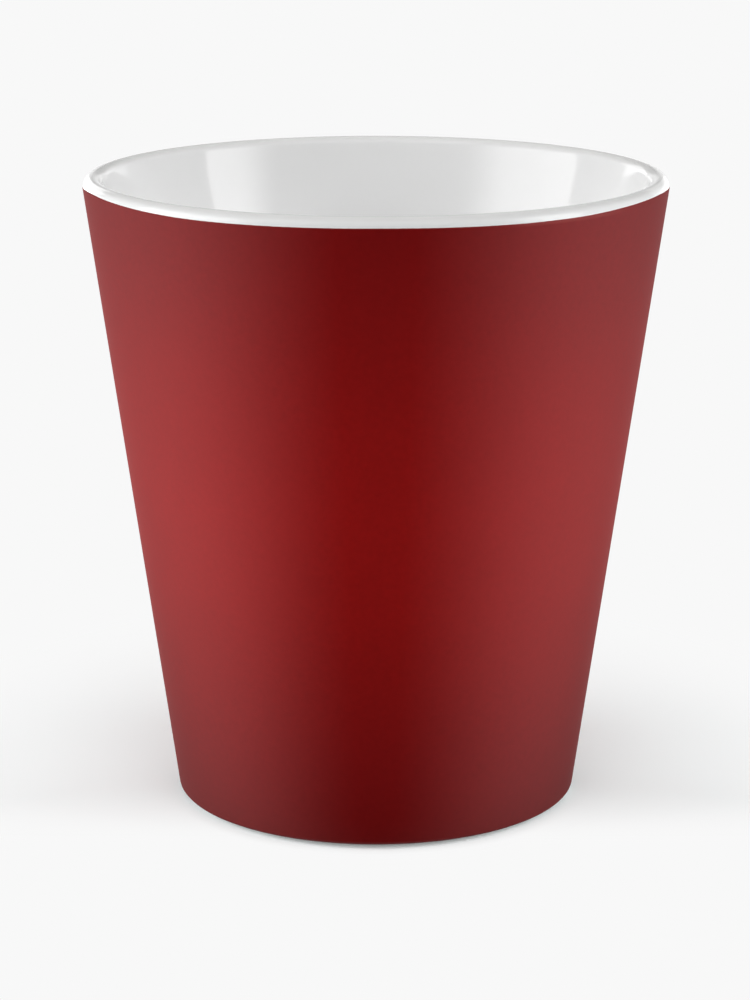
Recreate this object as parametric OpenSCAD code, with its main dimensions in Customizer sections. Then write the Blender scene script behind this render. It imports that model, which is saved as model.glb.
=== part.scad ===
// Tapered coffee mug: fired clay, slip joints, glaze coats and a printed coat.
// The mug stands on z = 0 with its axis on Z, and its handle points along +Y.

/* [Body] */
// Outside diameter of the glazed wall, carried up to the top of the lip
rim_d = 91; // [80:1:110]
// Outside diameter of the glazed wall, carried down to the base
base_d = 63.5; // [56:0.5:76]
// Height from the table to the top of the lip
mug_h = 99.5; // [88:0.5:125]
// Thickness of the fired clay wall
wall_t = 4; // [2.6:0.1:5]
// How much thinner the clay is at the lip than down the wall
lip_thin = 1.6; // [0.8:0.1:1.8]
// Extra lean of the inside where the wall thins towards the lip, in degrees
thin_a = 6.5; // [4:0.5:10]
// Radius of the bend where the inside starts to lean further
thin_r = 60; // [30:5:90]
// Thickness of the fired clay floor
floor_t = 4.6; // [3.5:0.1:8]
// Radius between the inside wall and the floor
inside_r = 7; // [4:0.5:12]
// Radius of the outside edge round the base
base_edge_r = 1; // [0.6:0.1:2]

/* [Foot] */
// Height of the base edge above the table
foot_h = 0.8; // [0.5:0.1:1.5]
// Step from the base edge in to the foot ring
foot_step = 2.6; // [2.4:0.1:5]
// Width of the foot ring
foot_w = 4; // [3:0.1:6]
// Radius on the two edges that the foot ring stands on
foot_edge_r = 0.3; // [0.1:0.05:0.45]
// Depth of the hollow inside the foot ring
recess_h = 2.2; // [2:0.1:4]
// Radius between the hollow's roof and the foot ring
recess_r = 1.2; // [0.8:0.1:1.4]

/* [Glaze and print] */
// Thickness of the fired glaze
glaze_t = 0.3; // [0.2:0.05:0.5]
// Thickness of the printed coat
print_t = 0.1; // [0.05:0.05:0.2]
// Where the print ends on the lip's round, in degrees above level
print_climb_a = 6; // [0:2:60]
// Where the print ends on the base edge's round, in degrees below level
print_turn_a = 72; // [30:2:84]
// Gap in the print behind the handle, in degrees of the way round
print_gap_a = 44; // [34:2:90]

/* [Handle] */
// Drop from the top of the lip to the middle of the upper joint
upper_drop = 22; // [18:0.5:30]
// Height of the middle of the lower joint above the table
lower_h = 29; // [22:0.5:36]
// Pull of the upper arm, which sets how far it reaches out
upper_pull = 50; // [40:1:60]
// Pull of the lower arm, which sets how far it reaches out
lower_pull = 42; // [32:1:52]
// Rise of the upper arm where it leaves the wall, in degrees
upper_a = 6; // [-5:1:20]
// Rise of the lower arm where it leaves the wall, in degrees
lower_a = 12; // [-5:1:30]
// Width of the handle, across the grip
grip_w = 13; // [10:0.5:16]
// Thickness of the handle, from the fingers outwards
grip_t = 8.4; // [6:0.2:11]
// Widening of the handle's ends where they spread on to the wall
flare = 5; // [2:0.5:7]
// Distance from the wall over which the ends narrow to the grip
flare_len = 4.5; // [2.5:0.5:7]
// Thickness of the slip between the handle and the wall
slip_t = 0.6; // [0.5:0.1:1]

/* [Hidden] */
$fn = 128;

// Degrees of an arc that one straight step of an outline spans
arc_step = 6;
// Share of a step below which two points of an arc count as one
arc_slack = 0.01;
// Rings along the handle, and sides round it
handle_rings = 36;
handle_sides = 24;
// Squareness of the handle's section, where 2 is an ellipse
grip_power = 2.4;
// Depth that the handle's path starts and ends below the wall's surface
root_depth = 6;
// Rings of the handle that one joint takes up
root_rings = 12;
// Overlap of one cut past the face that it cuts
cut = 0.5;

// Lean of the wall and of the inside below the lip
lean = atan((rim_d - base_d) / 2 / (mug_h - foot_h));
lip_lean = lean + thin_a;
// Thickness of clay and both glazes, and the lip's round that ends it
full_wall_t = wall_t + 2 * glaze_t;
lip_r = (full_wall_t - lip_thin) / 2;
// Distance along the inside from the lip's round to the bend where the wall starts to thin
thin_len = (full_wall_t - lip_r - thin_r + (thin_r - lip_r) * cos(thin_a)) / sin(thin_a);
// Distance of the glazed outside and inside from the axis, square to the leaning wall at z = 0
outside_s = across([rim_d / 2, mug_h]);
inside_s = outside_s - full_wall_t;
// Height of the glazed floor inside the mug
floor_z = recess_h + floor_t + 2 * glaze_t;
// Radii of the foot ring
foot_out_r = base_d / 2 - foot_step;
foot_in_r = foot_out_r - foot_w;
// Centres of the rounds in the section
lip_c = on_cone(outside_s - lip_r, mug_h - lip_r);
bend_c = lip_c + (thin_r - lip_r) * [cos(lip_lean), -sin(lip_lean)]
    - thin_len * [sin(lip_lean), cos(lip_lean)];
edge_c = on_cone(outside_s - base_edge_r, foot_h + base_edge_r);
corner_c = on_cone(inside_s - inside_r, floor_z + inside_r);
recess_c = [foot_in_r - glaze_t - recess_r, recess_h - recess_r];

// Distance of a section point from the axis, measured square to the wall
function across(p) = p[0] * cos(lean) - p[1] * sin(lean);
// Radius at height z of a cone at distance s, measured square to the wall
function cone_r(s, z) = (s + z * sin(lean)) / cos(lean);
function on_cone(s, z) = [cone_r(s, z), z];
function reversed(path) = [for (i = [len(path) - 1:-1:0]) path[i]];

// Points of an arc from angle a to angle b: its ends, and every whole step between them, so that
// two arcs on one circle share their points
function arc(centre, r, a, b) =
    let (
        low = min(a, b),
        high = max(a, b),
        first = arc_step * (floor(low / arc_step + arc_slack) + 1),
        angles = concat([low], [for (t = [first:arc_step:high - arc_step * arc_slack]) t], [high])
    )
    [for (t = a < b ? angles : reversed(angles)) centre + r * [cos(t), sin(t)]];

// Surface from the middle of the floor up the inside and over the lip, sunk by depth into the wall
function inner_path(depth) = concat(
    [[0, floor_z - depth]],
    arc(corner_c, inside_r + depth, -90, -lean),
    arc(bend_c, thin_r - depth, 180 - lean, 180 - lip_lean),
    arc(lip_c, lip_r - depth, 180 - lip_lean, -lean)
);

// Surface from under the lip down the outside and in to the foot ring, sunk by depth into the wall
function outer_path(depth) = concat(
    [lip_c + (lip_r - depth) * [cos(lean), -sin(lean)]],
    arc(edge_c, base_edge_r - depth, -lean, -90),
    [[foot_out_r, foot_h + depth]]
);

// Surface from the middle of the hollow out to the foot ring, sunk by depth into the floor
function base_path(depth) = concat([[0, recess_h + depth]], arc(recess_c, recess_r + depth, 90, 0));

// Surface that the print covers, raised by lift from the glaze
function print_path(lift) = concat(
    arc(lip_c, lip_r + lift, print_climb_a, -lean),
    arc(edge_c, base_edge_r + lift, -lean, -print_turn_a)
);

// Bare clay that the mug stands on, from the hollow to the outside
function foot_path() = concat(
    arc([foot_in_r + foot_edge_r, foot_edge_r], foot_edge_r, 180, 270),
    arc([foot_out_r - foot_edge_r, foot_edge_r], foot_edge_r, 270, 360)
);

// Handle path: one curve with four points in the plane x = 0, given as [y, z]
upper_end = on_cone(outside_s, mug_h - upper_drop);
lower_end = on_cone(outside_s, lower_h);
upper_way = [cos(upper_a), sin(upper_a)];
lower_way = [cos(lower_a), sin(lower_a)];
handle_points = [
    upper_end - root_depth * upper_way,
    upper_end + upper_pull * upper_way,
    lower_end + lower_pull * lower_way,
    lower_end - root_depth * lower_way
];

function handle_at(t) =
    let (u = 1 - t)
    u * u * u * handle_points[0] + 3 * u * u * t * handle_points[1]
    + 3 * u * t * t * handle_points[2] + t * t * t * handle_points[3];
function handle_along(t) =
    let (u = 1 - t)
    u * u * (handle_points[1] - handle_points[0]) + 2 * u * t * (handle_points[2] - handle_points[1])
    + t * t * (handle_points[3] - handle_points[2]);

// Extra width at a point of the path, which fades with its distance from the wall
function spread(t) = flare * exp(-max(0, across(handle_at(t)) - outside_s) / flare_len);
function rounded(v) = sign(v) * pow(abs(v), 2 / grip_power);

// Ring number i of the handle, grown outwards all round, with its first and last rings moved out by extra
function handle_ring(i, grow, extra) =
    let (
        t = (1 - cos(180 * i / handle_rings)) / 2,
        along = handle_along(t) / norm(handle_along(t)),
        end = (i == 0 ? -extra : 0) + (i == handle_rings ? extra : 0),
        centre = handle_at(t) + end * along,
        half_w = (grip_w + spread(t)) / 2 + grow,
        half_t = (grip_t + spread(t)) / 2 + grow
    )
    [for (j = [0:handle_sides - 1])
        let (
            a = 360 * j / handle_sides,
            side = half_w * rounded(cos(a)),
            out = half_t * rounded(sin(a))
        )
        [side, centre[0] + out * along[1], centre[1] - out * along[0]]
    ];

// Handle's form from one ring to another, where rings are closer together at its ends
module handle_sweep(first = 0, last = handle_rings, grow = 0, extra = 0) {
    points = [for (i = [first:last]) each handle_ring(i, grow, extra)];
    top = (last - first) * handle_sides;
    sides = [for (low = [0:handle_sides:top - 1], j = [0:handle_sides - 1])
        let (
            k = (j + 1) % handle_sides,
            high = low + handle_sides
        )
        each [[low + j, high + k, low + k], [low + j, high + j, high + k]]
    ];
    caps = [for (j = [1:handle_sides - 2]) each [[0, j, j + 1], [top, top + j + 1, top + j]]];
    polyhedron(points, concat(sides, caps));
}

module upper_root() {
    handle_sweep(last = root_rings, grow = glaze_t);
}

module lower_root() {
    handle_sweep(first = handle_rings - root_rings, grow = glaze_t);
}

// Solid cone inside the leaning wall's surface at distance s
module cone_solid(s) {
    translate([0, 0, -cut])
        cylinder(h = mug_h + 2 * cut, r1 = cone_r(s, -cut), r2 = cone_r(s, mug_h + cut));
}

// Slip between the clay wall and one root of the handle
module joint_slip() {
    difference() {
        intersection() {
            children();
            cone_solid(outside_s - glaze_t + slip_t);
        }
        cone_solid(outside_s - glaze_t);
    }
}

// Ring turned from two outlines of the same surface, one behind the other
module coat(face, back) {
    rotate_extrude() polygon(concat(face, reversed(back)));
}

module mug_body() {
    color("antiquewhite")
        rotate_extrude()
            polygon(concat(
                base_path(glaze_t),
                foot_path(),
                reversed(outer_path(glaze_t)),
                reversed(inner_path(glaze_t))
            ));
}

module inner_glaze() {
    color("whitesmoke") coat(inner_path(0), inner_path(glaze_t));
}

module outer_glaze() {
    color("whitesmoke")
        difference() {
            coat(outer_path(0), outer_path(glaze_t));
            upper_root();
            lower_root();
        }
}

module base_glaze() {
    color("whitesmoke") coat(base_path(0), base_path(glaze_t));
}

module print_wrap() {
    color("firebrick")
        rotate([0, 0, 90 + print_gap_a / 2])
            rotate_extrude(angle = 360 - print_gap_a)
                polygon(concat(print_path(print_t), reversed(print_path(0))));
}

module handle() {
    color("antiquewhite")
        difference() {
            handle_sweep();
            cone_solid(outside_s - glaze_t + slip_t);
        }
}

module handle_glaze() {
    color("whitesmoke")
        difference() {
            handle_sweep(grow = glaze_t);
            handle_sweep(extra = cut);
            cone_solid(outside_s - glaze_t + slip_t);
        }
}

module upper_joint_slip() {
    color("linen") joint_slip() upper_root();
}

module lower_joint_slip() {
    color("linen") joint_slip() lower_root();
}

mug_body();
inner_glaze();
outer_glaze();
base_glaze();
print_wrap();
handle();
handle_glaze();
upper_joint_slip();
lower_joint_slip();
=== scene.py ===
"""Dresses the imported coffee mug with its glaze, print and bare clay, in a plain studio.

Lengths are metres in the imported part's own frame: the mug stands on z = 0 with its axis on Z,
and its handle points along +Y. Fields that end in _a, the camera's angles and what says so are in
degrees, and other angles are in radians.
"""

import logging
import math
from abc import ABC, abstractmethod
from collections.abc import Callable, Mapping, Sequence
from dataclasses import dataclass, field
from enum import Enum
from typing import Union

import bmesh
import bpy
import numpy as np
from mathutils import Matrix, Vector


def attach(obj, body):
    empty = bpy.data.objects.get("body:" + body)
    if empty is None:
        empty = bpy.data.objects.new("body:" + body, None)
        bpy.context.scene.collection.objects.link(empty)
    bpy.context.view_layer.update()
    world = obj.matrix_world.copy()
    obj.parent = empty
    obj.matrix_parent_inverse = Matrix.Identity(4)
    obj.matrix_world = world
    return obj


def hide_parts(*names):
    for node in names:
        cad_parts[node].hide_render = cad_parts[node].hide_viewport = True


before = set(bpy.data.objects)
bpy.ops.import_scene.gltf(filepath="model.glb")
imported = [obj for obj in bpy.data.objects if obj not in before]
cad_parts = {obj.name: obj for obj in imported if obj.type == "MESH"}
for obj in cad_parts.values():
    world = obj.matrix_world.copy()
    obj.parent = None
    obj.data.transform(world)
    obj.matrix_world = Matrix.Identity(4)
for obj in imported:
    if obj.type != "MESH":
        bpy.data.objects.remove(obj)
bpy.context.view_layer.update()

LOG = logging.getLogger("coffee_mug")
BODY = "root"
MM = 0.001
STRAIGHT_STEP = 4 * MM

Colour = tuple[float, float, float]
Point = tuple[float, float, float]
Span = tuple[float, float]
Feed = Union["Socket", float, Sequence[float]]
Feeds = Mapping[str, Feed] | None
Settings = Mapping[str, object] | None

LOW_AIM: Point = (0.0, 0.0, 40 * MM)
MIDDLE_AIM: Point = (0.0, 0.0, 50 * MM)
HIGH_AIM: Point = (0.0, 0.0, 90 * MM)


class Slot(Enum):
    """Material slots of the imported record."""

    FIRED_CLAY = "fired_clay"
    FIRED_SLIP = "fired_slip"
    WHITE_GLAZE = "white_glaze"
    RED_PRINT = "red_print"


class End(Enum):
    """Two ends of the handle's path, by their place along it."""

    UPPER = 0.0
    LOWER = 1.0


class Reach(Enum):
    """Part of a finish that a light shows in."""

    MATTE = "matte"
    GLOSS = "gloss"


@dataclass(frozen=True)
class Grain:
    """Cloudy change over a surface, with patches of one size and finer detail in them."""

    size: float
    detail: float = 2.0


@dataclass(frozen=True)
class Specks:
    """Small round specks, at a share of the places that lie the spacing apart."""

    spacing: float
    radius: float
    share: float


@dataclass(frozen=True)
class Socket:
    """Output of a shader node that takes part in Python arithmetic, which adds nodes to its graph."""

    graph: "Graph"
    output: bpy.types.NodeSocket

    def __add__(self, other: Feed) -> "Socket":
        """Sum of two values."""
        return self.graph.math("ADD", self, other)

    def __sub__(self, other: Feed) -> "Socket":
        """This value less another."""
        return self.graph.math("SUBTRACT", self, other)

    def __rsub__(self, other: Feed) -> "Socket":
        """Another value less this one."""
        return self.graph.math("SUBTRACT", other, self)

    def __mul__(self, other: Feed) -> "Socket":
        """Product of two values."""
        return self.graph.math("MULTIPLY", self, other)

    def __truediv__(self, other: Feed) -> "Socket":
        """This value over another."""
        return self.graph.math("DIVIDE", self, other)

    def __rtruediv__(self, other: Feed) -> "Socket":
        """Another value over this one."""
        return self.graph.math("DIVIDE", other, self)

    __radd__ = __add__
    __rmul__ = __mul__

    def swing(self, amount: float) -> "Socket":
        """Change about 0 that this value makes where it lies about 0.5."""
        return (self - 0.5) * amount

    def other(self, name: str) -> "Socket":
        """Another output of the same node."""
        return Socket(self.graph, self.graph.find(self.output.node.outputs, name))


class Graph:
    """Node tree of a finish, a light or the world, filled through a few short calls."""

    def __init__(self, tree: bpy.types.NodeTree) -> None:
        """Empty the tree."""
        tree.nodes.clear()
        self.tree = tree

    @staticmethod
    def find(sockets: Sequence[bpy.types.NodeSocket], name: str) -> bpy.types.NodeSocket:
        """Find a socket.

        Args:
            sockets: Inputs or outputs of a node.
            name: Identifier or shown name of the wanted one, or nothing for the first.

        Returns:
            The socket with that identifier, or else the first with that name.
        """
        if not name:
            return sockets[0]
        by_identifier = [s for s in sockets if s.identifier == name]
        return (by_identifier or [s for s in sockets if s.name == name])[0]

    def add(self, kind: str, settings: Settings = None, feeds: Feeds = None) -> bpy.types.Node:
        """Add one node.

        Args:
            kind: The node's type, without the ShaderNode that starts its full name.
            settings: The node's own options, which are set first. The option stops holds a ramp's stops.
            feeds: Values or links of its inputs, by identifier or name.

        Returns:
            The node.
        """
        made = self.tree.nodes.new("ShaderNode" + kind)
        for option, value in (settings or {}).items():
            if option == "stops":
                self.set_stops(made.color_ramp, value)
            else:
                setattr(made, option, value)
        for name, value in (feeds or {}).items():
            socket = self.find(made.inputs, name)
            if isinstance(value, Socket):
                self.tree.links.new(value.output, socket)
            elif isinstance(value, Sequence) and len(value) == 3 and socket.type == "RGBA":
                socket.default_value = (*value, 1.0)
            else:
                socket.default_value = value
        return made

    def node(self, kind: str, settings: Settings = None, feeds: Feeds = None, output: str = "") -> Socket:
        """Add one node in the same way, and return the output of that name or else its first one."""
        return Socket(self, self.find(self.add(kind, settings, feeds).outputs, output))

    @staticmethod
    def set_stops(ramp: bpy.types.ColorRamp, stops: Sequence[tuple[float, Colour]]) -> None:
        """Put a ramp's stops in place.

        Args:
            ramp: The ramp to fill, which has two stops at first.
            stops: Place and colour of each stop, in order.
        """
        while len(ramp.elements) < len(stops):
            ramp.elements.new(1.0)
        for element, (place, colour) in zip(ramp.elements, stops):
            element.position = place
            element.color = (*colour, 1.0)

    def math(self, operation: str, first: Feed, second: Feed = 0.0) -> Socket:
        """Value of one Math node."""
        return self.node("Math", {"operation": operation}, {"Value": first, "Value_001": second})

    def vector(self, operation: str, first: Feed, second: Feed) -> Socket:
        """Result of one Vector Math node on two vectors."""
        return self.node("VectorMath", {"operation": operation}, {"Vector": first, "Vector_001": second})

    def scale(self, colour: Feed, factor: Feed) -> Socket:
        """Colour or vector times a value."""
        return self.node("VectorMath", {"operation": "SCALE"}, {"Vector": colour, "Scale": factor})

    def mix(self, factor: Feed, first: Feed, second: Feed) -> Socket:
        """Colour between two others, which is the second where the factor is 1."""
        feeds = {"Factor_Float": factor, "A_Color": first, "B_Color": second}
        return self.node("Mix", {"data_type": "RGBA"}, feeds, "Result_Color")

    def step(self, value: Feed, low: float, high: float) -> Socket:
        """Smooth rise from 0 at low to 1 at high, or a fall where high is the lower one."""
        feeds = {"Value": value, "From Min": low, "From Max": high}
        return self.node("MapRange", {"interpolation_type": "SMOOTHSTEP"}, feeds)

    def place(self) -> Socket:
        """Point of the surface in the part's own frame."""
        return self.node("TexCoord", output="Object")

    def flat(self, place: Socket) -> Socket:
        """Point straight above or below, at z = 0."""
        return self.vector("MULTIPLY", place, (1.0, 1.0, 0.0))

    def noise(self, place: Socket, grain: Grain) -> Socket:
        """Cloudy value about 0.5."""
        feeds = {"Vector": place, "Scale": 1.0 / grain.size, "Detail": grain.detail}
        return self.node("TexNoise", {}, feeds)

    def specks(self, place: Socket, specks: Specks) -> Socket:
        """Mask of small round specks.

        Args:
            place: Point of the surface.
            specks: Spacing, largest radius and share of the specks.

        Returns:
            A value that is 1 in a speck and 0 elsewhere.
        """
        cell = self.node("TexVoronoi", {}, {"Vector": place, "Scale": 1.0 / specks.spacing}, "Distance")
        chance = self.node("SeparateColor", {}, {"Color": cell.other("Color")}, "Red")
        size = self.step(chance, 1.0 - specks.share, 1.0) * (specks.radius / specks.spacing)
        return self.math("LESS_THAN", cell, size)

    def bump(self, height: Socket, depth: float, onto: Socket | None = None) -> Socket:
        """Normal of a surface raised by height times depth, on top of another bump where there is one."""
        feeds = {"Height": height, "Distance": depth}
        return self.node("Bump", {}, feeds if onto is None else {**feeds, "Normal": onto})

    def seen_rays(self) -> Socket:
        """Mask of the rays that show what they hit.

        Returns:
            A value that is 1 for rays from the camera, in gloss and through glass, and 0 for the rest.
        """
        camera = self.node("LightPath", output="Is Camera Ray")
        gloss, glass = camera.other("Is Glossy Ray"), camera.other("Is Transmission Ray")
        return self.math("MAXIMUM", camera, self.math("MAXIMUM", gloss, glass))


class Finish(ABC):
    """Finish of a surface, which makes its own material."""

    name: str

    def material(self) -> bpy.types.Material:
        """Make a material of the finish.

        Returns:
            The material.
        """
        made = bpy.data.materials.new(self.name)
        made.use_nodes = True
        graph = Graph(made.node_tree)
        graph.add("OutputMaterial", {}, {"Surface": self.shader(graph)})
        return made

    @abstractmethod
    def shader(self, graph: Graph) -> Socket:
        """Shader of the finish, built in the graph."""


@dataclass(frozen=True)
class WhiteGlaze(Finish):
    """Glossy white glaze with the odd pinhole. The lip's crest is warmer where the glaze runs thinly and
    darker with painted shade on its top, and the upper inside wall carries a little painted shade.
    """

    name: str = Slot.WHITE_GLAZE.value
    white: Colour = (0.85, 0.85, 0.85)
    # Warm colour of the thinly glazed crest, darkened with painted shade for the lip's top.
    cream_and_shade: Colour = (0.67, 0.668, 0.66)
    pinhole: Colour = (0.42, 0.40, 0.37)
    crest: Span = (98.6 * MM, 99.5 * MM)
    crest_share: float = 0.92
    upper_wall: Span = (85.5 * MM, 97.5 * MM)
    upper_share: float = 0.13
    cloud: Grain = Grain(22 * MM, 1.0)
    cloud_share: float = 0.04
    pinholes: Specks = Specks(17 * MM, 0.16 * MM, 0.25)
    pinhole_depth: float = 0.05 * MM
    waves: Grain = Grain(13 * MM, 1.0)
    wave_depth: float = 0.07 * MM
    gloss: float = 0.09
    smears: Grain = Grain(6 * MM, 3.0)
    smear_change: float = 0.06
    ior: float = 1.5

    def shader(self, graph: Graph) -> Socket:
        """Build the finish.

        Args:
            graph: Node tree of the material.

        Returns:
            Its shader.
        """
        place = graph.place()
        height = graph.node("SeparateXYZ", {}, {"Vector": place}, "Z")
        # Painted shade: the crest turns to the darker cream colour, partly for the glaze that runs thinly
        # there and partly as shade on the lip's top, and the upper inside wall gets a little painted shade.
        cream_and_shade_mask = graph.step(height, *self.crest) * self.crest_share
        cream_and_shade_mask = cream_and_shade_mask + graph.step(height, *self.upper_wall) * self.upper_share
        cloud = graph.noise(place, self.cloud)
        dip = graph.specks(place, self.pinholes)
        colour = graph.mix(cream_and_shade_mask + cloud * self.cloud_share, self.white, self.cream_and_shade)
        colour = graph.mix(dip, colour, self.pinhole)
        waves = graph.bump(graph.noise(place, self.waves), self.wave_depth)
        normal = graph.bump(1 - dip, self.pinhole_depth, waves)
        rough = self.gloss + graph.noise(place, self.smears).swing(self.smear_change)
        feeds = {"Base Color": colour, "Roughness": rough, "Normal": normal, "IOR": self.ior}
        return graph.node("BsdfPrincipled", {}, feeds)


@dataclass(frozen=True)
class RedPrint(Finish):
    """Satin red print, brightest at half height and darker towards the lip and the base.

    The shades run from the base to the top. Painted side light on top of them makes the print lighter
    towards the two sides and darker at the front and the back. The haze is a faint pale veil that shows
    where the print is seen at a slant.
    """

    name: str = Slot.RED_PRINT.value
    shades: tuple[tuple[float, Colour], ...] = (
        (0.00, (0.167, 0.0058, 0.0062)),
        (0.14, (0.214, 0.0070, 0.0073)),
        (0.30, (0.272, 0.0080, 0.0077)),
        (0.40, (0.307, 0.0085, 0.0080)),
        (0.55, (0.322, 0.0088, 0.0083)),
        (0.69, (0.303, 0.0086, 0.0082)),
        (0.79, (0.275, 0.0082, 0.0080)),
        (0.88, (0.244, 0.0077, 0.0077)),
        (1.00, (0.210, 0.0068, 0.0070)),
    )
    # Painted side light: factors from the front and the back (0) to the two sides (1), lighter at the sides
    # where the side lamps fall.
    painted_side_light: tuple[Span, ...] = (
        (0.00, 0.775), (0.20, 0.80), (0.35, 0.875), (0.50, 0.955),
        (0.65, 0.985), (0.80, 0.955), (0.90, 0.885), (1.00, 0.83),
    )
    mottle: Grain = Grain(0.9 * MM, 3.0)
    mottle_change: float = 0.22
    cloud: Grain = Grain(14 * MM)
    cloud_change: float = 0.10
    worn: Colour = (0.300, 0.050, 0.045)
    worn_heights: Span = (97.3 * MM, 97.7 * MM)
    worn_start: Span = (0.38, 0.52)
    worn_end: Span = (0.84, 0.70)
    worn_share: float = 0.4
    spot: Colour = (0.050, 0.004, 0.004)
    spots: Specks = Specks(17 * MM, 0.5 * MM, 0.4)
    spot_share: float = 0.85
    spot_dullness: float = 0.15
    satin: float = 0.46
    satin_change: float = 0.12
    skin: Grain = Grain(0.7 * MM)
    skin_depth: float = 0.012 * MM
    specular: float = 0.003
    haze: Colour = (0.9, 0.9, 0.9)
    haze_share: float = 0.040
    haze_low: float = 0.85
    haze_full_height: float = 50 * MM
    haze_spread: float = 0.9167
    haze_start: float = 0.56
    haze_start_top: float = 0.28
    top: float = 98.1 * MM

    def shader(self, graph: Graph) -> Socket:
        """Build the finish.

        Args:
            graph: Node tree of the material.

        Returns:
            Its shader.
        """
        place = graph.place()
        height = graph.node("SeparateXYZ", {}, {"Vector": place}, "Z")
        level = height / self.top
        colour = graph.node("ValToRGB", {"stops": self.shades}, {"Fac": level}, "Color")
        around = graph.node("VectorMath", {"operation": "NORMALIZE"}, {"Vector": graph.flat(place)})
        right = graph.node("SeparateXYZ", {}, {"Vector": around}, "X")
        # Painted side light: lighter towards the two sides, darker at the front and the back.
        stops = [(where, (shade, shade, shade)) for where, shade in self.painted_side_light]
        aside = graph.math("ABSOLUTE", right)
        colour = graph.scale(colour, graph.node("ValToRGB", {"stops": stops}, {"Fac": aside}, "Color"))
        mottle = graph.noise(place, self.mottle)
        cloud = graph.noise(place, self.cloud)
        shade = 1 + mottle.swing(self.mottle_change) + cloud.swing(self.cloud_change)
        colour = graph.scale(colour, shade)
        edge = graph.step(height, *self.worn_heights)
        rubbed = graph.step(right, *self.worn_start) * graph.step(right, *self.worn_end)
        colour = graph.mix(edge * rubbed * self.worn_share, colour, self.worn)
        spot = graph.specks(place, self.spots)
        colour = graph.mix(spot * self.spot_share, colour, self.spot)
        rough = self.satin + mottle.swing(self.satin_change) + spot * self.spot_dullness
        normal = graph.bump(graph.noise(place, self.skin), self.skin_depth)
        feeds = {"Base Color": colour, "Roughness": rough, "Normal": normal}
        film = graph.node("BsdfPrincipled", {}, {**feeds, "Specular IOR Level": self.specular})
        haze = graph.node("BsdfDiffuse", {}, {"Color": self.haze})
        slant = graph.node("LayerWeight", {}, {"Blend": self.haze_spread}, "Facing")
        fuller = self.haze_low + graph.step(height, 0.0, self.haze_full_height) * (1 - self.haze_low)
        start = self.haze_start + level * (self.haze_start_top - self.haze_start)
        veil = graph.math("MAXIMUM", slant - start, 0.0) / (1 - start) * fuller * self.haze_share
        return graph.node("MixShader", {}, {"Fac": veil, "Shader": film, "Shader_001": haze})


@dataclass(frozen=True)
class FiredClay(Finish):
    """Bare fired clay, pale and sandy, with rings left by wiping and grinding the foot."""

    name: str = Slot.FIRED_CLAY.value
    body: Colour = (0.71, 0.66, 0.58)
    toasted: Colour = (0.58, 0.50, 0.40)
    toasted_cloud: Span = (0.42, 0.68)
    toasted_share: float = 0.55
    cloud: Grain = Grain(9 * MM)
    grain: Grain = Grain(0.5 * MM, 4.0)
    grain_change: float = 0.25
    grain_depth: float = 0.05 * MM
    iron: Colour = (0.20, 0.13, 0.08)
    flecks: Specks = Specks(1.5 * MM, 0.16 * MM, 0.3)
    fleck_share: float = 0.7
    ring_pitch: float = 0.42 * MM
    ring_wander: float = 9.0
    ring_change: float = 0.03
    ring_relief: float = 0.25
    rough: float = 0.86
    rough_change: float = 0.1

    def shader(self, graph: Graph) -> Socket:
        """Build the finish.

        Args:
            graph: Node tree of the material.

        Returns:
            Its shader.
        """
        place = graph.place()
        radius = graph.node("VectorMath", {"operation": "LENGTH"}, {"Vector": graph.flat(place)}, "Value")
        grain = graph.noise(place, self.grain)
        cloud = graph.noise(place, self.cloud)
        rings = graph.math("SINE", radius * (math.tau / self.ring_pitch) + cloud * self.ring_wander)
        fleck = graph.specks(place, self.flecks)
        toast = graph.step(cloud, *self.toasted_cloud) * self.toasted_share
        colour = graph.mix(toast, self.body, self.toasted)
        colour = graph.scale(colour, 1 + grain.swing(self.grain_change) + rings * self.ring_change)
        colour = graph.mix(fleck * self.fleck_share, colour, self.iron)
        normal = graph.bump(grain + rings * self.ring_relief, self.grain_depth)
        rough = self.rough + grain.swing(self.rough_change)
        feeds = {"Base Color": colour, "Roughness": rough, "Normal": normal}
        return graph.node("BsdfPrincipled", {}, feeds)


@dataclass(frozen=True)
class FiredSlip(Finish):
    """Fired joining slip, finer and a little paler than the clay, with brush streaks."""

    name: str = Slot.FIRED_SLIP.value
    body: Colour = (0.75, 0.70, 0.63)
    streak: Colour = (0.62, 0.56, 0.48)
    streak_brush: Span = (0.4, 0.7)
    brush: Grain = Grain(0.8 * MM, 3.0)
    brush_draw: Point = (1.0, 1.0, 0.2)
    brush_depth: float = 0.06 * MM
    rough: float = 0.8
    rough_change: float = 0.15

    def shader(self, graph: Graph) -> Socket:
        """Build the finish.

        Args:
            graph: Node tree of the material.

        Returns:
            Its shader.
        """
        place = graph.place()
        brush = graph.noise(graph.vector("MULTIPLY", place, self.brush_draw), self.brush)
        colour = graph.mix(graph.step(brush, *self.streak_brush), self.body, self.streak)
        normal = graph.bump(brush, self.brush_depth)
        rough = self.rough + brush.swing(self.rough_change)
        feeds = {"Base Color": colour, "Roughness": rough, "Normal": normal}
        return graph.node("BsdfPrincipled", {}, feeds)


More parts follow.
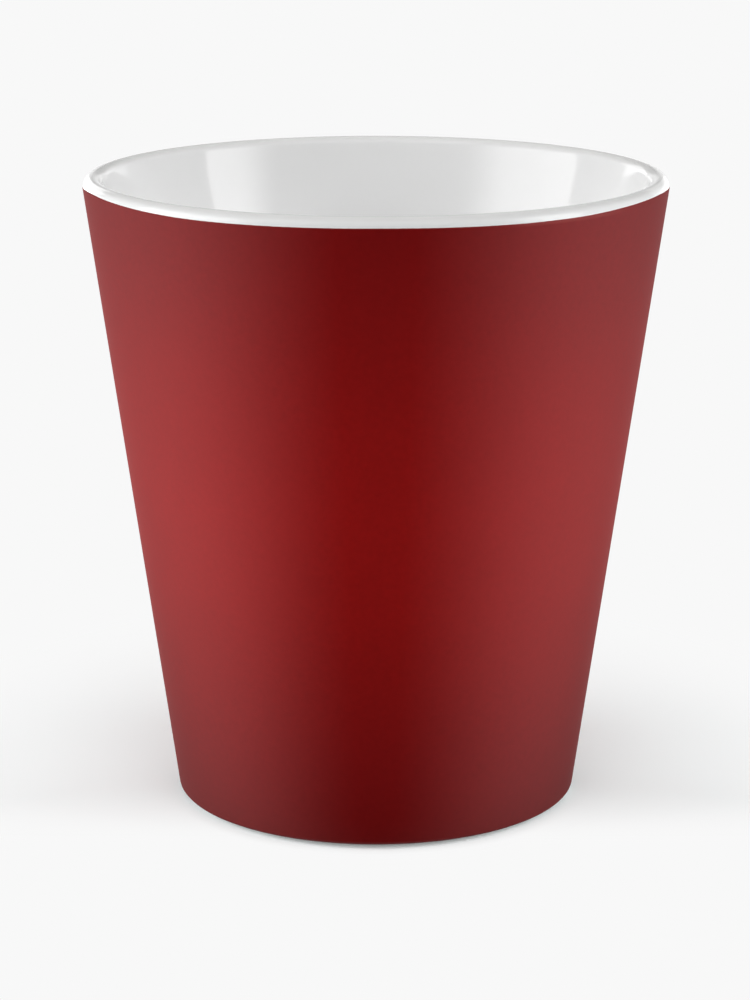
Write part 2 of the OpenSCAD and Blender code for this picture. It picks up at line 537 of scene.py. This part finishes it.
@dataclass(frozen=True)
class StudioFloor(Finish):
    """Pale matte floor that takes the mug's shadow and turns into an even tone further out.

    The turn is measured from a point in front of the mug's axis and is drawn out behind it. Ahead of
    the mug it starts at once, outside the ring where the mug stands.
    """

    name: str = "studio_floor"
    # Painted shade: the paper is darker ahead of and behind the mug, deepening the shadow there, and paler
    # and less red at the sides, cancelling the red light bounced off the mug.
    painted_shade_paper: Colour = (0.84, 0.852, 0.852)
    side_paper_cancelling_red_bounce: Colour = (0.895, 0.95, 0.95)
    side_spread: Span = (0.5, 0.95)
    tone: Colour = (0.939, 0.939, 0.939)
    lift: float = 0.066
    turn: Span = (40 * MM, 95 * MM)
    back_pull: float = 0.7
    front: float = -27 * MM
    contact: Span = (28.5 * MM, 34.5 * MM)

    def shader(self, graph: Graph) -> Socket:
        """Build the finish.

        Args:
            graph: Node tree of the material.

        Returns:
            Its shader.
        """
        x = graph.node("SeparateXYZ", {}, {"Vector": graph.place()}, "X")
        y = x.other("Y")
        drawn = (y - self.front) * self.back_pull
        distance = graph.math("SQRT", x * x + drawn * drawn)
        clear = graph.step(graph.math("SQRT", x * x + y * y), *self.contact)
        seen = graph.seen_rays()
        aside = graph.step(graph.math("ABSOLUTE", x) / distance, *self.side_spread)
        # Paper with painted shade ahead of and behind the mug, and less red at the sides against the
        # bounced red light.
        painted_shade_paper = graph.mix(aside, self.painted_shade_paper, self.side_paper_cancelling_red_bounce)
        matte = graph.node("BsdfDiffuse", {}, {"Color": painted_shade_paper})
        glow = graph.node("Emission", {}, {"Color": self.tone, "Strength": seen * self.lift})
        close = graph.node("AddShader", {}, {"Shader": matte, "Shader_001": glow})
        away = graph.node("Emission", {}, {"Color": self.tone, "Strength": 1.0})
        ahead = graph.step(y, 0.0, self.front) * clear
        even = graph.math("MAXIMUM", graph.step(distance, *self.turn), ahead) * seen
        return graph.node("MixShader", {}, {"Fac": even, "Shader": close, "Shader_001": away})


@dataclass(frozen=True)
class Ripple:
    """Uneven line round the mug, made of whole waves so that it closes on itself."""

    height: float
    turn: float = 0.0
    waves: tuple[int, ...] = (2, 5, 9, 14, 23)

    def at(self, angle: float) -> float:
        """Height of the line at an angle round the mug, within plus and minus the full height."""
        parts = [math.sin(n * (angle + self.turn * n)) / math.sqrt(n) for n in self.waves]
        return self.height * sum(parts) / sum(1 / math.sqrt(n) for n in self.waves)


def add_object(name: str, data: bpy.types.ID) -> bpy.types.Object:
    """Add an object to the scene.

    Args:
        name: Name of the object.
        data: Mesh, light or camera that it shows.

    Returns:
        The object.
    """
    made = bpy.data.objects.new(name, data)
    bpy.context.scene.collection.objects.link(made)
    return made


@dataclass
class Shell:
    """Closed mesh that is put together from grids of points."""

    name: str
    weld: float = 1e-4 * MM
    sharp_a: float = 40.0
    points: list[np.ndarray] = field(default_factory=list)
    faces: list[tuple[int, ...]] = field(default_factory=list)

    def add_grid(self, grid: np.ndarray, wrap_rows: bool, wrap_columns: bool) -> None:
        """Add a grid of points and the four-sided faces between them.

        Args:
            grid: Points, as rows by columns by three.
            wrap_rows: Whether the last row meets the first.
            wrap_columns: Whether the last column meets the first.
        """
        rows, columns = grid.shape[:2]
        self.points.extend(grid.reshape(-1, 3))
        for i in range(rows if wrap_rows else rows - 1):
            low, high = i * columns, (i + 1) % rows * columns
            for j in range(columns if wrap_columns else columns - 1):
                k = (j + 1) % columns
                self.faces.append((low + j, low + k, high + k, high + j))

    def close_row(self, first: int, count: int) -> None:
        """Close the end of a grid whose row runs out along one line of points and back along another.

        Args:
            first: Index of the row's first point.
            count: Points in the row, out and back.
        """
        last = first + count - 1
        for i in range(count // 2 - 1):
            self.faces.append((first + i, first + i + 1, last - i - 1, last - i))

    def piece(self, material: bpy.types.Material, node: str) -> None:
        """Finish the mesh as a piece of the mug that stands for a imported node.

        Args:
            material: Material of the whole piece.
            node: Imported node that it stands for.
        """
        mesh = bpy.data.meshes.new(self.name)
        mesh.from_pydata([tuple(p) for p in self.points], [], self.faces)
        work = bmesh.new()
        work.from_mesh(mesh)
        bmesh.ops.remove_doubles(work, verts=work.verts, dist=self.weld)
        bmesh.ops.recalc_face_normals(work, faces=work.faces)
        work.to_mesh(mesh)
        work.free()
        mesh.polygons.foreach_set("use_smooth", [True] * len(mesh.polygons))
        mesh.set_sharp_from_angle(angle=math.radians(self.sharp_a))
        mesh.materials.append(material)
        made = add_object(self.name, mesh)
        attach(made, BODY)
        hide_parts(node)
        LOG.info("%s: %d faces, stands for %s", self.name, len(mesh.polygons), node)


def ways(angles: np.ndarray) -> np.ndarray:
    """Ways at those angles in the section, one a row, each of length 1."""
    return np.stack([np.cos(angles), np.sin(angles)], axis=1)


def arc(centre: np.ndarray, radius: float, start: float, end: float, steps: int) -> np.ndarray:
    """Points of an arc in the section.

    Args:
        centre: Centre of the arc, as distance from the axis and height.
        radius: Radius of the arc.
        start: First angle, in degrees.
        end: Last angle, in degrees.
        steps: Straight steps along it.

    Returns:
        The points, one a row.
    """
    return centre + radius * ways(np.radians(np.linspace(start, end, steps + 1)))


def joined(*paths: np.ndarray) -> np.ndarray:
    """Join paths of the section, with short steps along the straight stretches between them.

    Args:
        paths: Points of each path, in order.

    Returns:
        The points of the whole path.
    """
    made = [paths[0]]
    for path in paths[1:]:
        gap = np.linalg.norm(path[0] - made[-1][-1])
        shares = np.linspace(0, 1, max(2, math.ceil(gap / STRAIGHT_STEP) + 1))[1:-1, None]
        made += [made[-1][-1] + shares * (path[0] - made[-1][-1]), path]
    return np.concatenate(made)


@dataclass(frozen=True)
class MugForm:
    """Sizes of the mug's section, which its clay, glaze and print share."""

    rim_d: float = 91 * MM
    base_d: float = 63.5 * MM
    height: float = 99.5 * MM
    wall_t: float = 4 * MM
    lip_thin: float = 1.6 * MM
    thin_a: float = 6.5
    thin_r: float = 60 * MM
    floor_t: float = 4.6 * MM
    inside_r: float = 7 * MM
    base_edge_r: float = 0.6 * MM
    foot_h: float = 0.8 * MM
    foot_step: float = 2.6 * MM
    foot_w: float = 4 * MM
    recess_h: float = 2.2 * MM
    recess_r: float = 1.2 * MM
    glaze_t: float = 0.3 * MM
    turns: int = 192

    @property
    def lean(self) -> float:
        """Lean of the wall, in degrees."""
        return math.degrees(math.atan((self.rim_d - self.base_d) / 2 / (self.height - self.foot_h)))

    @property
    def lean_cos(self) -> float:
        """Cosine of the wall's lean."""
        return math.cos(math.radians(self.lean))

    @property
    def lean_sin(self) -> float:
        """Sine of the wall's lean."""
        return math.sin(math.radians(self.lean))

    @property
    def lip_lean(self) -> float:
        """Lean of the inside where the wall thins towards the lip, in degrees."""
        return self.lean + self.thin_a

    @property
    def full_wall_t(self) -> float:
        """Thickness of the wall with both glazes."""
        return self.wall_t + 2 * self.glaze_t

    @property
    def lip_r(self) -> float:
        """Radius of the lip, which is half of the glazed wall's thickness there."""
        return (self.full_wall_t - self.lip_thin) / 2

    @property
    def outside(self) -> float:
        """Distance of the glazed outside from the axis, square to the leaning wall at z = 0."""
        return self.rim_d / 2 * self.lean_cos - self.height * self.lean_sin

    @property
    def floor_z(self) -> float:
        """Height of the glazed floor inside the mug."""
        return self.recess_h + self.floor_t + 2 * self.glaze_t

    @property
    def foot_out_r(self) -> float:
        """Outer radius of the foot ring."""
        return self.base_d / 2 - self.foot_step

    def on_wall(self, depth: float, z: float) -> np.ndarray:
        """Section point at height z, on the surface that lies depth below the glazed outside."""
        return np.array([(self.outside - depth + z * self.lean_sin) / self.lean_cos, z])

    @property
    def lip_c(self) -> np.ndarray:
        """Centre of the lip's round."""
        return self.on_wall(self.lip_r, self.height - self.lip_r)

    @property
    def bend_c(self) -> np.ndarray:
        """Find the bend where the inside starts to lean further.

        Returns:
            The centre of its round.
        """
        turn, lean = math.radians(self.thin_a), math.radians(self.lip_lean)
        span = self.thin_r - self.lip_r
        reach = (self.full_wall_t - self.lip_r - self.thin_r + span * math.cos(turn)) / math.sin(turn)
        across = np.array([math.cos(lean), -math.sin(lean)])
        along = np.array([math.sin(lean), math.cos(lean)])
        return self.lip_c + span * across - reach * along

    @property
    def edge_c(self) -> np.ndarray:
        """Centre of the base edge's round."""
        return self.on_wall(self.base_edge_r, self.foot_h + self.base_edge_r)

    @property
    def corner_c(self) -> np.ndarray:
        """Centre of the round between the inside wall and the floor."""
        return self.on_wall(self.full_wall_t + self.inside_r, self.floor_z + self.inside_r)

    @property
    def recess_c(self) -> np.ndarray:
        """Centre of the round in the corner of the hollow under the floor."""
        roof = self.foot_out_r - self.foot_w - self.glaze_t - self.recess_r
        return np.array([roof, self.recess_h - self.recess_r])

    def by_lip(self, runs: np.ndarray, lift: float) -> np.ndarray:
        """Points of the outside by the lip.

        Args:
            runs: Ways along the outside, up from the start of the lip's round or, if negative, down.
            lift: Height of the points over the glaze.

        Returns:
            The points, one a row.
        """
        turn = np.clip(runs, 0, None) / self.lip_r - math.radians(self.lean)
        round_part = self.lip_c + (self.lip_r + lift) * ways(turn)
        return round_part + np.clip(runs, None, 0)[:, None] * np.array([self.lean_sin, self.lean_cos])

    def wall_gap(self, points: np.ndarray) -> np.ndarray:
        """Distance of points from the leaning outside of the wall, which is negative inside it."""
        around = np.hypot(points[..., 0], points[..., 1])
        return around * self.lean_cos - points[..., 2] * self.lean_sin - self.outside

    def wall_normal(self, points: np.ndarray) -> np.ndarray:
        """Find the way straight out of the leaning wall.

        Args:
            points: Points near the wall.

        Returns:
            One way for each point, of length 1.
        """
        around = np.hypot(points[..., 0], points[..., 1])[..., None]
        flat = points[..., :2] / around * self.lean_cos
        return np.concatenate([flat, np.full_like(around, -self.lean_sin)], axis=-1)

    def turned(self, path: Callable[[float], np.ndarray], start: float, end: float) -> np.ndarray:
        """Turn a section round the axis.

        Args:
            path: Gives the section, as distance from the axis and height, at an angle round the axis.
            start: First angle round the axis, from +X towards +Y.
            end: Last angle. A full turn leaves its last row out, because it is the first one again.

        Returns:
            The points, one section a row.
        """
        full = math.isclose(end - start, math.tau)
        angles = np.linspace(start, end, self.turns + 1)[: self.turns if full else None]
        rows = []
        for angle in angles:
            out, up = path(angle).T
            rows.append(np.stack([out * math.cos(angle), out * math.sin(angle), up], axis=1))
        return np.array(rows)


@dataclass(frozen=True)
class ClayCore:
    """Fired clay under the coats: the body, the handle and the slip that joins them."""

    clay_nodes: tuple[str, ...] = ("mug_body", "handle")
    slip_nodes: tuple[str, ...] = ("upper_joint_slip", "lower_joint_slip")

    def dress(self, clay: bpy.types.Material, slip: bpy.types.Material) -> None:
        """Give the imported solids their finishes.

        Args:
            clay: Bare clay, which shows on the foot ring.
            slip: Joining slip, which the glaze covers.
        """
        for names, material in ((self.clay_nodes, clay), (self.slip_nodes, slip)):
            for name in names:
                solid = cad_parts[name]
                for holder in solid.material_slots:
                    holder.material = material
                LOG.info("%s: packed solid, %s", name, material.name)


@dataclass(frozen=True)
class GlazeCoats:
    """White glaze inside, outside and in the hollow under the floor."""

    form: MugForm
    floor_dish: float = 0.15 * MM
    bead: float = 0.12 * MM
    bead_w: float = 0.5 * MM
    bead_end: float = 0.7
    wiped: Ripple = Ripple(0.25 * MM, 0.7)
    hollow_edge: Ripple = Ripple(0.2 * MM, 1.9)
    corner_steps: int = 14
    bend_steps: int = 6
    lip_steps: int = 36
    edge_steps: int = 12
    hollow_steps: int = 10

    def inner_section(self, depth: float) -> np.ndarray:
        """Line of the inside, from the middle of the floor up the wall and over the lip.

        Args:
            depth: How far the line lies under the coat's face.

        Returns:
            The points, one a row.
        """
        form = self.form
        corner = arc(form.corner_c, form.inside_r + depth, -90, -form.lean, self.corner_steps)
        bend_ends = (180 - form.lean, 180 - form.lip_lean)
        bend = arc(form.bend_c, form.thin_r - depth, *bend_ends, self.bend_steps)
        lip = arc(form.lip_c, form.lip_r - depth, 180 - form.lip_lean, -form.lean, self.lip_steps)
        path = joined(np.array([[0.0, form.floor_z - depth]]), corner, bend, lip)
        reach = np.clip(1 - (path[:, 0] / form.corner_c[0]) ** 2, 0, None)
        low = path[:, 1] < form.floor_z + form.inside_r
        path[:, 1] -= np.where(low, self.floor_dish * reach, 0)
        return path

    def inner(self, angle: float) -> np.ndarray:
        """Section of the inside coat, from the axis out over the lip and back.

        Args:
            angle: Angle round the mug, which changes nothing here.

        Returns:
            The points of the open section, which starts and ends on the axis.
        """
        del angle
        face, back = self.inner_section(0.0), self.inner_section(self.form.glaze_t)
        return np.concatenate([face, back[::-1]])

    def outer(self, angle: float) -> np.ndarray:
        """Section of the outside coat, from the lip down to its wiped edge by the foot ring and back.

        Args:
            angle: Angle round the mug, on which the wiped edge depends.

        Returns:
            The points of the closed section.
        """
        form = self.form
        stop = form.foot_out_r + self.wiped.height + self.wiped.at(angle)
        face = joined(
            form.by_lip(np.zeros(1), 0.0),
            arc(form.edge_c, form.base_edge_r, -form.lean, -90, self.edge_steps),
            np.array([
                [stop + 2 * self.bead_w, form.foot_h],
                [stop + self.bead_w, form.foot_h - self.bead],
                [stop + self.bead_w / 3, form.foot_h - self.bead * self.bead_end],
                [stop, form.foot_h + form.glaze_t / 3],
            ]),
        )
        under = form.foot_h + form.glaze_t
        back = joined(
            form.by_lip(np.zeros(1), -form.glaze_t),
            arc(form.edge_c, form.base_edge_r - form.glaze_t, -form.lean, -90, self.edge_steps),
            np.array([[stop + self.bead_w, under], [stop, under]]),
        )
        return np.concatenate([face, back[::-1]])

    def hollow(self, angle: float) -> np.ndarray:
        """Section of the coat in the hollow, from the axis out to its edge on the foot ring and back.

        Args:
            angle: Angle round the mug, on which the edge depends.

        Returns:
            The points of the open section, which starts and ends on the axis.
        """
        form = self.form
        edge = np.array([0.0, self.hollow_edge.at(angle)])
        face = joined(
            np.array([[0.0, form.recess_h]]),
            arc(form.recess_c, form.recess_r, 90, 0, self.hollow_steps),
        )
        back = joined(
            np.array([[0.0, form.recess_h + form.glaze_t]]),
            arc(form.recess_c, form.recess_r + form.glaze_t, 90, 0, self.hollow_steps),
        )
        face[-1] += edge
        back[-1] += edge
        return np.concatenate([face, back[::-1]])

    def build(self, glaze: bpy.types.Material) -> None:
        """Build and dress the three coats.

        Args:
            glaze: White glaze.
        """
        sections = {"inner_glaze": self.inner, "outer_glaze": self.outer, "base_glaze": self.hollow}
        for node, section in sections.items():
            shell = Shell(node.replace("glaze", "glaze_coat"))
            shell.add_grid(self.form.turned(section, 0.0, math.tau), True, node == "outer_glaze")
            shell.piece(glaze, node)


@dataclass(frozen=True)
class PrintCoat:
    """Red print round the outside, open behind the handle.

    The top line gives its upper edge, in millimetres up from the start of the lip's round, by the
    angle from the front in degrees. The lower edge turns under the base by turn_a, less in one bare
    place, and its ripple and the bare place's width and depth are in degrees too.
    """

    form: MugForm
    thickness: float = 0.1 * MM
    sunk: float = 0.05 * MM
    feather: float = 0.8
    top_line: tuple[Span, ...] = (
        (0, 0.29), (12, 0.23), (20, 0.20), (28, 0.18), (40, 0.22), (53, 0.44),
        (62, 0.57), (70, 0.61), (77, 0.46), (83, 0.15), (88, -0.07), (93, -0.16),
        (99, -0.12), (110, 0.03), (125, 0.20), (140, 0.28), (180, 0.30),
    )
    turn_a: float = 80.0
    gap_a: float = 44.0
    top_edge: Ripple = Ripple(0.04 * MM, 0.4)
    bottom_edge: Ripple = Ripple(4.0, 2.3)
    bare_a: float = -12.0
    bare_w: float = 7.0
    bare_depth: float = 46.0
    edge_run: float = 2 * MM
    edge_points: int = 16
    base_steps: int = 14

    def section(self, angle: float) -> np.ndarray:
        """Section of the print, from its edge on the lip down to its edge under the base and back.

        Args:
            angle: Angle round the mug, on which both edges depend.

        Returns:
            The points of the closed section.
        """
        form = self.form
        from_bare = (math.degrees(angle) - self.bare_a + 180) % 360 - 180
        from_front = abs((math.degrees(angle) + 270) % 360 - 180)
        top = float(np.interp(from_front, *zip(*self.top_line))) * MM + self.top_edge.at(angle)
        bare = self.bare_depth * math.exp(-((from_bare / self.bare_w) ** 2))
        turn = self.turn_a + self.bottom_edge.at(angle) - bare
        sides = []
        for lift in (self.thickness, -self.sunk):
            path = joined(
                form.by_lip(np.linspace(top, -self.edge_run, self.edge_points), lift),
                arc(form.edge_c, form.base_edge_r + lift, -form.lean, -turn, self.base_steps),
            )
            sides.append(path)
        face, back = sides
        for end in (0, -1):
            face[end] = face[end] * (1 - self.feather) + back[end] * self.feather
        return np.concatenate([face, back[::-1]])

    def build(self, red: bpy.types.Material) -> None:
        """Build and dress the print.

        Args:
            red: Satin red of the print.
        """
        start = math.radians(90 + self.gap_a / 2)
        grid = self.form.turned(self.section, start, start + math.radians(360 - self.gap_a))
        rows, columns = grid.shape[:2]
        shell = Shell("print_coat")
        shell.add_grid(grid, False, True)
        shell.close_row(0, columns)
        shell.close_row((rows - 1) * columns, columns)
        shell.piece(red, "print_wrap")


@dataclass(frozen=True)
class HandleCoat:
    """Glaze on the handle, with rounded roots where the joining slip fills the corner."""

    form: MugForm
    upper_drop: float = 22 * MM
    lower_h: float = 29 * MM
    upper_pull: float = 50 * MM
    lower_pull: float = 42 * MM
    upper_a: float = 6.0
    lower_a: float = 12.0
    grip_w: float = 13 * MM
    grip_t: float = 8.4 * MM
    grip_power: float = 2.4
    flare: float = 5 * MM
    flare_len: float = 4.5 * MM
    root_depth: float = 6 * MM
    root_r: float = 2.4 * MM
    seam_h: float = 0.05 * MM
    seam_w: float = 0.5 * MM
    sunk: float = 0.2 * MM
    rings: int = 110
    sides: int = 96
    root_steps: int = 9
    halvings: int = 48
    probe: float = 1e-4

    @property
    def path_points(self) -> np.ndarray:
        """Find the four points of the handle's curve.

        Returns:
            The points, as distance from the axis and height.
        """
        upper = self.form.on_wall(0.0, self.form.height - self.upper_drop)
        lower = self.form.on_wall(0.0, self.lower_h)
        upper_way, lower_way = ways(np.radians([self.upper_a, self.lower_a]))
        return np.array([
            upper - self.root_depth * upper_way,
            upper + self.upper_pull * upper_way,
            lower + self.lower_pull * lower_way,
            lower - self.root_depth * lower_way,
        ])

    def skin(self, along: np.ndarray, turn: np.ndarray, grow: float, seam: float = 0.0) -> np.ndarray:
        """Points on the handle's surface.

        Args:
            along: Place along the path, from 0 at its upper end to 1 at its lower one.
            turn: Angle round the section, in the same shape.
            grow: Thickness of a coat on the clay.
            seam: Height of the mould's seam.

        Returns:
            One point for each place and angle.
        """
        t = along[..., None]
        p = self.path_points
        u = 1 - t
        centre = u**3 * p[0] + 3 * u * u * t * p[1] + 3 * u * t * t * p[2] + t**3 * p[3]
        way = u * u * (p[1] - p[0]) + 2 * u * t * (p[2] - p[1]) + t * t * (p[3] - p[2])
        way /= np.linalg.norm(way, axis=-1, keepdims=True)
        form = self.form
        from_wall = centre[..., 0] * form.lean_cos - centre[..., 1] * form.lean_sin - form.outside
        spread = self.flare * np.exp(-np.clip(from_wall, 0, None) / self.flare_len)
        cos, sin = np.cos(turn), np.sin(turn)
        power = 2 / self.grip_power
        side = ((self.grip_w + spread) / 2 + grow) * np.sign(cos) * np.abs(cos) ** power
        out = ((self.grip_t + spread) / 2 + grow) * np.sign(sin) * np.abs(sin) ** power
        clear = np.clip(from_wall / (3 * self.flare_len), 0, 1)
        out = out + np.sign(sin) * seam * clear * np.exp(-((side / self.seam_w) ** 2))
        behind = centre[..., 0] + out * way[..., 1]
        up = centre[..., 1] - out * way[..., 0]
        return np.stack([side, behind, up], axis=-1)

    def meet(self, end: End, gap: float, turn: np.ndarray, grow: float) -> np.ndarray:
        """Places along the path where the surface lies at a given distance from the wall.

        Args:
            end: End of the handle.
            gap: Distance from the wall's outside.
            turn: Angles round the section.
            grow: Thickness of a coat on the clay.

        Returns:
            One place for each angle.
        """
        inside = np.full_like(turn, end.value)
        clear = np.full_like(turn, (End.UPPER.value + End.LOWER.value) / 2)
        for _ in range(self.halvings):
            middle = (inside + clear) / 2
            under = self.form.wall_gap(self.skin(middle, turn, grow)) < gap
            inside, clear = np.where(under, middle, inside), np.where(under, clear, middle)
        return clear

    def root(self, end: End, turn: np.ndarray) -> np.ndarray:
        """Rounded root that spreads on to the wall.

        Args:
            end: End of the handle.
            turn: Angles round the section.

        Returns:
            Rings of points, from the handle's side to just under the wall's surface.
        """
        form, grow, step = self.form, self.form.glaze_t, self.probe
        rows = []
        for angle in np.linspace(0, math.pi / 2, self.root_steps + 1):
            gap = self.root_r * (1 - math.sin(angle))
            place = self.meet(end, gap, turn, grow)
            points = self.skin(place, turn, grow)
            across = self.skin(place, turn + step, grow) - self.skin(place, turn - step, grow)
            ahead = self.skin(place + step, turn, grow) - self.skin(place - step, turn, grow)
            outward = np.cross(across, ahead)
            wall = form.wall_normal(points)
            outward -= (outward * wall).sum(-1, keepdims=True) * wall
            outward /= np.linalg.norm(outward, axis=-1, keepdims=True)
            rows.append(self.settled(points + self.root_r * (1 - math.cos(angle)) * outward, gap))
            last = points + (self.root_r + self.sunk) * outward
        rows.append(self.settled(last, -self.sunk))
        return np.array(rows)

    def settled(self, points: np.ndarray, gap: float) -> np.ndarray:
        """Points moved straight towards the wall or away from it, to lie at the given distance."""
        miss = self.form.wall_gap(points) - gap
        return points - miss[..., None] * self.form.wall_normal(points)

    def build(self, glaze: bpy.types.Material) -> None:
        """Build and dress the coat, outside first and then back along the clay.

        Args:
            glaze: White glaze.
        """
        turn = np.linspace(0, math.tau, self.sides, endpoint=False)
        shares = (1 - np.cos(np.linspace(0, math.pi, self.rings + 1))) / 2
        grow = self.form.glaze_t
        first = self.meet(End.UPPER, self.root_r, turn, grow)
        last = self.meet(End.LOWER, self.root_r, turn, grow)
        middle = [self.skin(first + s * (last - first), turn, grow, self.seam_h) for s in shares[1:-1]]
        clay_first = self.meet(End.UPPER, -self.sunk, turn, 0.0)
        clay_last = self.meet(End.LOWER, -self.sunk, turn, 0.0)
        clay = [self.skin(clay_last + s * (clay_first - clay_last), turn, 0.0) for s in shares]
        upper, lower = self.root(End.UPPER, turn), self.root(End.LOWER, turn)
        shell = Shell("handle_glaze_coat")
        shell.add_grid(np.concatenate([upper[::-1], middle, lower, clay]), True, True)
        shell.piece(glaze, "handle_glaze")


@dataclass(frozen=True)
class SoftBox:
    """Soft light that faces one point."""

    name: str
    place: Point
    aim: Point
    width: float
    height: float
    power: float
    reach: Reach
    fade: Span | None = None

    def hang(self) -> None:
        """Add the light to the scene, fading across its width where it has a fade."""
        light = bpy.data.lights.new(self.name, "AREA")
        light.shape = "RECTANGLE"
        light.size, light.size_y = self.width, self.height
        light.energy = self.power
        if self.fade:
            light.use_nodes = True
            graph = Graph(light.node_tree)
            place = graph.node("NewGeometry", output="Parametric")
            across = graph.node("SeparateXYZ", {}, {"Vector": place}, "X")
            glow = graph.node("Emission", {}, {"Strength": graph.step(across, *self.fade)})
            graph.add("OutputLight", {}, {"Surface": glow})
        lamp = add_object(self.name, light)
        lamp.visible_glossy = self.reach is Reach.GLOSS
        lamp.visible_diffuse = self.reach is Reach.MATTE
        lamp.location = self.place
        lamp.rotation_euler = (Vector(self.aim) - Vector(self.place)).to_track_quat("-Z", "Y").to_euler()


@dataclass(frozen=True)
class Studio:
    """Pale floor, plain world and soft lights."""

    floor_r: float = 5.0
    floor_sides: int = 96
    tone: Colour = (0.939, 0.939, 0.939)
    high_tone: Colour = (0.25, 0.25, 0.25)
    tone_rise: Span = (0.08, 0.2)
    lights: tuple[SoftBox, ...] = (
        SoftBox("front_box", (0.0, -0.75, 1.05), LOW_AIM, 1.2, 0.9, 5.38, Reach.MATTE),
        SoftBox("back_box", (0.0, 0.75, 1.00), LOW_AIM, 1.2, 0.9, 5.95, Reach.MATTE),
        SoftBox("left_box", (-0.669, 0.0, 0.255), MIDDLE_AIM, 0.42, 0.42, 1.92, Reach.MATTE),
        SoftBox("left_mid_box", (-0.662, -0.178, 0.462), MIDDLE_AIM, 0.42, 0.42, 2.62, Reach.MATTE),
        SoftBox("right_box", (0.669, 0.0, 0.255), MIDDLE_AIM, 0.42, 0.42, 0.66, Reach.MATTE),
        SoftBox("right_mid_box", (0.662, -0.178, 0.462), MIDDLE_AIM, 0.42, 0.42, 2.48, Reach.MATTE),
        SoftBox("right_high_box", (0.636, 0.0, 0.756), MIDDLE_AIM, 0.5, 0.5, 0.88, Reach.MATTE),
        SoftBox("left_card", (-0.635, -0.212, 0.255), MIDDLE_AIM, 0.79, 0.5, 3.65, Reach.GLOSS, (1.0, 0.6)),
        SoftBox("right_card", (0.609, -0.278, 0.255), MIDDLE_AIM, 0.44, 0.5, 2.35, Reach.GLOSS, (0.0, 0.6)),
        SoftBox("back_left_card", (-0.33, 0.62, 0.15), HIGH_AIM, 0.34, 0.4, 0.55, Reach.GLOSS),
        SoftBox("back_right_card", (0.33, 0.62, 0.15), HIGH_AIM, 0.34, 0.4, 0.22, Reach.GLOSS),
    )

    def lay_floor(self) -> None:
        """Add the floor under the mug."""
        work = bmesh.new()
        bmesh.ops.create_circle(work, cap_ends=True, segments=self.floor_sides, radius=self.floor_r)
        mesh = bpy.data.meshes.new("studio_floor")
        work.to_mesh(mesh)
        work.free()
        mesh.materials.append(StudioFloor(tone=self.tone).material())
        floor = add_object("studio_floor", mesh)

    def light(self) -> None:
        """Set the world and hang the soft boxes."""
        world = bpy.data.worlds.new("studio_world")
        world.use_nodes = True
        graph = Graph(world.node_tree)
        way = graph.node("TexCoord", output="Generated")
        rise = graph.step(graph.node("SeparateXYZ", {}, {"Vector": way}, "Z"), *self.tone_rise)
        feeds = {"Color": graph.mix(rise, self.tone, self.high_tone), "Strength": graph.seen_rays()}
        graph.add("OutputWorld", {}, {"Surface": graph.node("Background", {}, feeds)})
        bpy.context.scene.world = world
        for box in self.lights:
            box.hang()


@dataclass(frozen=True)
class PhotoCamera:
    """Camera at the photograph's viewing angle, in a frame of 750 by 1000 pixels."""

    look_z: float = 50 * MM
    distance: float = 480 * MM
    elevation: float = 13.9667
    pitch: float = 14.2996
    yaw: float = 0.02
    focal_pixels: float = 3017.4
    frame_height: float = 1000.0
    sensor: float = 36.0
    nearest: float = 10 * MM

    def stand(self) -> None:
        """Add the camera and make it the scene's own."""
        lens = bpy.data.cameras.new("photo_camera")
        lens.sensor_width = self.sensor
        lens.lens = self.focal_pixels * self.sensor / self.frame_height
        lens.clip_start = self.nearest
        camera = add_object("photo_camera", lens)
        rise = math.radians(self.elevation)
        camera.location = (
            0.0,
            -self.distance * math.cos(rise),
            self.look_z + self.distance * math.sin(rise),
        )
        camera.rotation_euler = (math.radians(90 - self.pitch), 0.0, math.radians(self.yaw))
        bpy.context.scene.camera = camera


def main() -> None:
    """Build the mug's coats, dress its clay, and set the studio round it."""
    logging.basicConfig(level=logging.INFO, format="%(name)s: %(message)s")
    bpy.context.scene.view_settings.view_transform = "Standard"
    PhotoCamera().stand()
    form = MugForm()
    glaze = WhiteGlaze().material()
    ClayCore().dress(FiredClay().material(), FiredSlip().material())
    GlazeCoats(form).build(glaze)
    PrintCoat(form).build(RedPrint().material())
    HandleCoat(form).build(glaze)
    studio = Studio()
    studio.lay_floor()
    studio.light()


if __name__ == "__main__":
    main()
